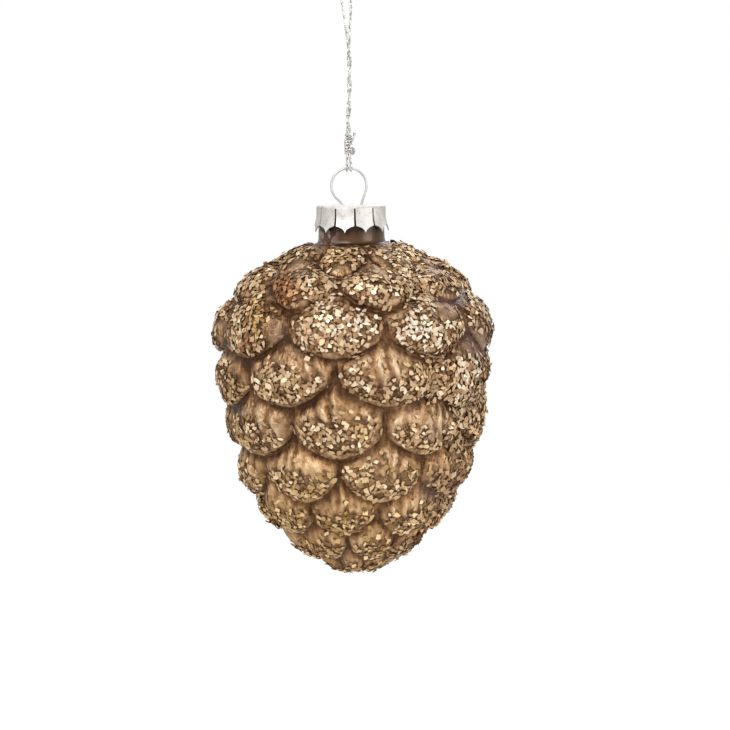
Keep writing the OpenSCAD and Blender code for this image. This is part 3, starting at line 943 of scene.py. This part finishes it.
def paintCone():
    paint = Paint("paintedGlass")
    place = paint.where()
    rise, flute = paint.attribute("rise"), paint.attribute("flute")
    isNeck, cover = paint.attribute("isNeck"), paint.attribute("micaCover")
    cloudy = paint.noise(place, 110, 4, 0.6)
    drawn = paint.node("ShaderNodeMapping", None, {"Vector": place, "Scale": (1, 1, 0.34)})
    streaky = paint.noise(drawn, 640, 2, 0.5)
    beaded = paint.noise(place, 460, 3, 0.55)
    grain = paint.noise(place, 1900, 3, 0.7)
    # the paint's level is lower in the grooves between scales and in the flutes' valleys and higher on the
    # flutes' ridges: painted shade and painted highlight over the paint's own mottled tone; it is also a little
    # lighter in the lower rows
    grooveShade = paint.span(rise, 0.07, 0.6)
    high = paint.split(place, 2)
    lower = paint.span(high, -0.06, -0.095)
    level = (grooveShade * 0.56 + flute * 0.36 + (cloudy - 0.5) * 0.9 + (streaky - 0.5) * 0.8
             + (beaded - 0.5) * 0.9 + (grain - 0.5) * 0.3 + paint.span(high, -0.055, -0.08) * 0.14
             + 0.05).clamped()
    colour = paint.ramp(level, [(0, (0.06, 0.024, 0.009)), (0.2, (0.11, 0.051, 0.02)),
                                (0.45, (0.215, 0.116, 0.052)), (0.72, (0.365, 0.224, 0.118)),
                                (1, (0.54, 0.39, 0.245))])
    golden = paint.span(paint.noise(place, 60, 2, 0.5), 0.45, 0.7)
    golden = (golden * 0.35 + lower * 0.6).clamped()
    colour = paint.mix(golden, colour, paint.mix(1.0, colour, (1.03, 0.9, 0.68), "MULTIPLY"))
    colour = paint.mix(paint.attribute("smoky") * 0.6, colour, (0.155, 0.1, 0.085))
    # the paint under the mica is darkened, partly for its dark glue and partly as painted shade in the gaps
    # between flakes
    glueAndGapShade = paint.span(cover, 0.1, 0.6)
    colour = paint.mix(glueAndGapShade * (0.88 - lower * 0.28), colour, (0.058, 0.028, 0.011))
    # a painted reflection lightens a band near the neck's foot
    footReflection = paint.span(high, -0.016, -0.0186) * paint.span(high, -0.02, -0.0193)
    neck = paint.mix((cloudy - 0.38 + footReflection * 0.36).clamped(), (0.01, 0.004, 0.002), (0.175, 0.088, 0.042))
    # pale pinkish patches at the neck's left are a painted reflection
    leftNeckReflection = paint.span(beaded, 0.51, 0.56) * paint.span(paint.split(place, 0), -0.002, -0.006)
    neck = paint.mix(leftNeckReflection * 0.6, neck, (0.34, 0.25, 0.23))
    colour = paint.mix(isNeck, colour, neck)
    rough = paint.span(beaded, 0.3, 0.7, 0.38, 0.54) + lower * 0.05
    rough = rough - isNeck * 0.2
    metal = 0.55 - isNeck * 0.4
    fine = paint.bump(grain, 0.0001, 0.3)
    bump = paint.bump((streaky * 1.1 + beaded) * (1.0 - isNeck), 0.0009, 0.8, fine)
    return paint.finish(paint.shader(Base_Color=colour, Metallic=metal, Roughness=rough, Normal=bump,
                                     Specular_IOR_Level=0.2, Coat_Weight=0.05, Coat_Roughness=0.25))


conePiece = makeCone()
conePiece.data.materials.append(paintCone())
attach(conePiece, "root")
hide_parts("cone_shell")
print("cone made", len(conePiece.data.polygons), "faces")


# a few broken outlines, which growMica scatters
def makeFlakeShapes(layer):
    chance = np.random.default_rng(11)
    box = bpy.data.collections.new("flakeShapes")
    bpy.context.scene.collection.children.link(box)
    for n in range(mica["shapes"]):
        corners = int(chance.integers(4, layer["corners"] + 1))
        turn = np.arange(corners) + chance.uniform(-mica["cornerShift"], mica["cornerShift"], corners)
        turn = np.sort(turn * math.tau / corners)
        reach = chance.uniform(*mica["cornerReach"], corners)
        stretch = chance.uniform(*mica["stretch"])
        x, y = reach * np.cos(turn) * stretch, reach * np.sin(turn) / stretch
        half, under = mica["thick"] / layer["size"] / 2, mica["underside"]
        tip = chance.uniform(-0.5, 0.5, corners) * half
        points = [(a, b, half + c) for a, b, c in zip(x, y, tip)]
        points += [(a * under, b * under, -half) for a, b in zip(x, y)]
        faces = [tuple(range(corners)), tuple(reversed(range(corners, 2 * corners)))]
        faces += [(j, j + corners, (j + 1) % corners + corners, (j + 1) % corners) for j in range(corners)]
        mesh = makeMesh("flake%d" % n, np.array(points) * layer["size"] * mm, faces, smooth=False)
        addAttribute(mesh, "side", [0.0, 0.0] + [1.0] * corners, "FACE")
        box.objects.link(bpy.data.objects.new("flake%d" % n, mesh))
    return box


def growMica(name, layer, source, shapes, material):
    grower = Grower(name, {
        "Shapes": ("Collection", shapes), "Cover": ("String", layer["cover"]), "Seed": ("Int", layer["seed"]),
        "Spacing": ("Float", layer["spacing"] * mm), "Density": ("Float", layer["density"]),
        "Tilt": ("Float", layer["tilt"]), "Lift Low": ("Float", layer["lift"][0]),
        "Lift High": ("Float", layer["lift"][1]), "Tone Low": ("Float", layer["tones"][0]),
        "Tone High": ("Float", layer["tones"][1])})
    given = grower.given
    scatter = grower.node("GeometryNodeDistributePointsOnFaces", {"distribute_method": "POISSON"},
                          {"Mesh": given("Geometry"), "Distance Min": given("Spacing"),
                           "Density Max": given("Density"), "Density Factor": grower.attribute(given("Cover")),
                           "Seed": given("Seed")})
    lying = Wire(grower, scatter.socket.node.outputs["Rotation"])

    # a random value for each flake, with a seed of its own
    def chance(kind, low, high, offset):
        lowSlot, highSlot, out = {"FLOAT": (2, 3, 1), "FLOAT_VECTOR": (0, 1, 0), "INT": (4, 5, 2)}[kind]
        return grower.node("FunctionNodeRandomValue", {"data_type": kind},
                           {lowSlot: low, highSlot: high, "Seed": given("Seed") + float(offset)}, out=out)

    tiltX, tiltY = (chance("FLOAT", given("Tilt") * -1.0, given("Tilt"), offset) for offset in (1, 2))
    wilder = grower.attribute("shaggy") * mica["shaggyLean"] + 1.0
    level = grower.node("ShaderNodeCombineXYZ", None, {"X": tiltX, "Y": tiltY})
    lean = grower.node("ShaderNodeVectorMath", {"operation": "SCALE"}, {"Vector": level, "Scale": wilder})
    spun = grower.node("ShaderNodeCombineXYZ", None, {"Z": chance("FLOAT", 0.0, math.tau, 3)})
    for angles in (lean, spun):
        turn = grower.node("FunctionNodeEulerToRotation", None, {0: angles})
        lying = grower.node("FunctionNodeRotateRotation", {"rotation_space": "LOCAL"}, {0: lying, 1: turn})
    scale = chance("FLOAT_VECTOR", mica["scaleLow"], mica["scaleHigh"], 4)
    pick = chance("INT", 0, mica["shapes"] - 1, 5)
    shapesOut = grower.node("GeometryNodeCollectionInfo", None,
                            {"Collection": given("Shapes"), "Separate Children": True, "Reset Children": True})
    laid = grower.node("GeometryNodeInstanceOnPoints", None,
                       {"Points": scatter, "Instance": shapesOut, "Pick Instance": True, "Instance Index": pick,
                        "Rotation": lying, "Scale": scale})
    lift = chance("FLOAT", given("Lift Low"), given("Lift High"), 6)
    rise = grower.node("ShaderNodeCombineXYZ", None, {"Z": lift})
    toned = grower.node("GeometryNodeTranslateInstances", None,
                        {"Instances": laid, "Translation": rise, "Local Space": True})
    tones = {"tone": chance("FLOAT", given("Tone Low"), given("Tone High"), 7),
             "glint": chance("FLOAT", 0.0, 1.0, 8)}
    for label, value in tones.items():
        toned = grower.node("GeometryNodeStoreNamedAttribute", {"data_type": "FLOAT", "domain": "INSTANCE"},
                            {"Geometry": toned, "Name": label, "Value": value})
    grower.close(toned, material)
    return grower.apply(source, name)


def paintMica():
    paint = Paint("micaChips")
    place = paint.where()
    tone, glint = paint.attribute("tone"), paint.attribute("glint")
    golden, rusty = paint.attribute("golden"), paint.attribute("rusty")
    patch = paint.noise(place, 55, 2, 0.5)
    mottled = paint.noise(place, 900, 3, 0.6)
    shade = (tone + (mottled - 0.5) * 0.25).clamped()
    pale = paint.ramp(shade, [(0, (0.115, 0.05, 0.019)), (0.2, (0.265, 0.145, 0.066)),
                              (0.42, (0.425, 0.272, 0.146)), (0.8, (0.585, 0.42, 0.252)),
                              (0.95, (0.7, 0.55, 0.37)), (1, (0.84, 0.73, 0.56))])
    amber = paint.ramp(shade, [(0, (0.15, 0.07, 0.022)), (0.35, (0.36, 0.205, 0.078)),
                               (0.8, (0.58, 0.385, 0.175)), (1, (0.76, 0.57, 0.31))])
    rust = paint.ramp(shade, [(0, (0.08, 0.028, 0.01)), (0.5, (0.26, 0.105, 0.038)),
                              (1, (0.56, 0.31, 0.14))])
    lower = paint.span(paint.split(place, 2), -0.06, -0.095)
    colour = paint.mix((paint.span(patch, 0.5, 0.66) * 0.5 + golden + lower * 0.6).clamped(), pale, amber)
    colour = paint.mix(rusty, colour, rust)
    # pale spots on the lighter flakes are painted highlights
    frosted = paint.attribute("frosted") * paint.span(tone, 0.35, 0.8)
    colour = paint.mix(frosted * 0.55, colour, (0.8, 0.75, 0.65))
    colour = paint.mix(paint.attribute("smoky") * 0.5, colour, (0.215, 0.15, 0.125))
    # the flakes' edge faces are darkened: painted shade at their sides, less in the lower rows
    colour = paint.mix(paint.attribute("side") * (0.8 - lower * 0.3), colour, (0.1, 0.048, 0.019))
    rough = paint.span(glint, 0.3, 1.0, 0.58, 0.3)
    metal = paint.span(glint, 0.4, 1.0, 0.15, 0.5)
    bump = paint.bump(mottled, 0.00008, 0.3)
    return paint.finish(paint.shader(Base_Color=colour, Metallic=metal, Roughness=rough, Normal=bump,
                                     Specular_IOR_Level=0.15))


def makeMica(name, layer, material):
    shapes = makeFlakeShapes(layer)
    made = growMica(name, layer, conePiece, shapes, material)
    for shape in list(shapes.objects):
        bpy.data.objects.remove(shape)
    bpy.data.collections.remove(shapes)
    return made


micaChips = paintMica()
for name, layer in micaLayers.items():
    micaPiece = makeMica(name, layer, micaChips)
    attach(micaPiece, "root")
    print(name, "scattered", sum(len(face.vertices) - 2 for face in micaPiece.data.polygons), "triangles")

stage = {
    "floorLevel": -0.2,
    "floorSize": 6.0,
    "white": 1.0,
    "floorWhite": 1.1,
    "glow": 0.85,
    "worldLight": 0.42,
    "worldShine": 0.75,
}


def makeStage():
    half, level = stage["floorSize"] / 2, stage["floorLevel"]
    corners = [(x * half, y * half, level) for x, y in ((-1, -1), (1, -1), (1, 1), (-1, 1))]
    floor = addMesh("studioFloor", corners, [(0, 1, 2, 3)], smooth=False)
    paint = Paint("studioWhite")
    seen = paint.node("ShaderNodeLightPath", out="Is Camera Ray")
    plain = paint.shader(Base_Color=(0.86, 0.86, 0.86, 1), Roughness=0.9)
    white = paint.node("ShaderNodeEmission", None, {"Color": (1, 1, 1, 1), "Strength": stage["floorWhite"]})
    both = paint.node("ShaderNodeMixShader", None, {0: seen * stage["glow"], 1: plain, 2: white})
    floor.data.materials.append(paint.finish(both))


def makeWorld():
    paint = Paint("studio", bpy.data.worlds)
    seen = paint.node("ShaderNodeLightPath", out="Is Camera Ray")
    glossy = paint.node("ShaderNodeLightPath", out="Is Glossy Ray")
    light = paint.node("ShaderNodeMix", None, {0: glossy, 2: stage["worldLight"], 3: stage["worldShine"]})
    strength = paint.node("ShaderNodeMix", None, {0: seen, 2: light, 3: stage["white"]})
    back = paint.node("ShaderNodeBackground", None, {"Color": (1, 1, 1, 1), "Strength": strength})
    paint.node("ShaderNodeOutputWorld", None, {"Surface": back})
    bpy.context.scene.world = paint.owner


# place, size and power of each lamp
lamps = {
    "key": ((-0.35, -0.65, 0.55), 0.45, 8.4),
    "fill": ((0.75, -0.45, 0.05), 0.5, 4.0),
    "edge": ((0.2, 0.6, 0.45), 0.5, 3.0),
}


def makeLamps():
    aim = Vector((0, 0, -0.06))
    for name, (place, size, power) in lamps.items():
        light = bpy.data.lights.new(name, "AREA")
        light.size, light.energy = size, power
        holder = addObject(name, light)
        holder.location = place
        holder.rotation_euler = (aim - Vector(place)).to_track_quat("-Z", "Y").to_euler()


makeStage()
makeWorld()
makeLamps()
bpy.context.scene.view_settings.view_transform = "Standard"
print("stage and lamps set")
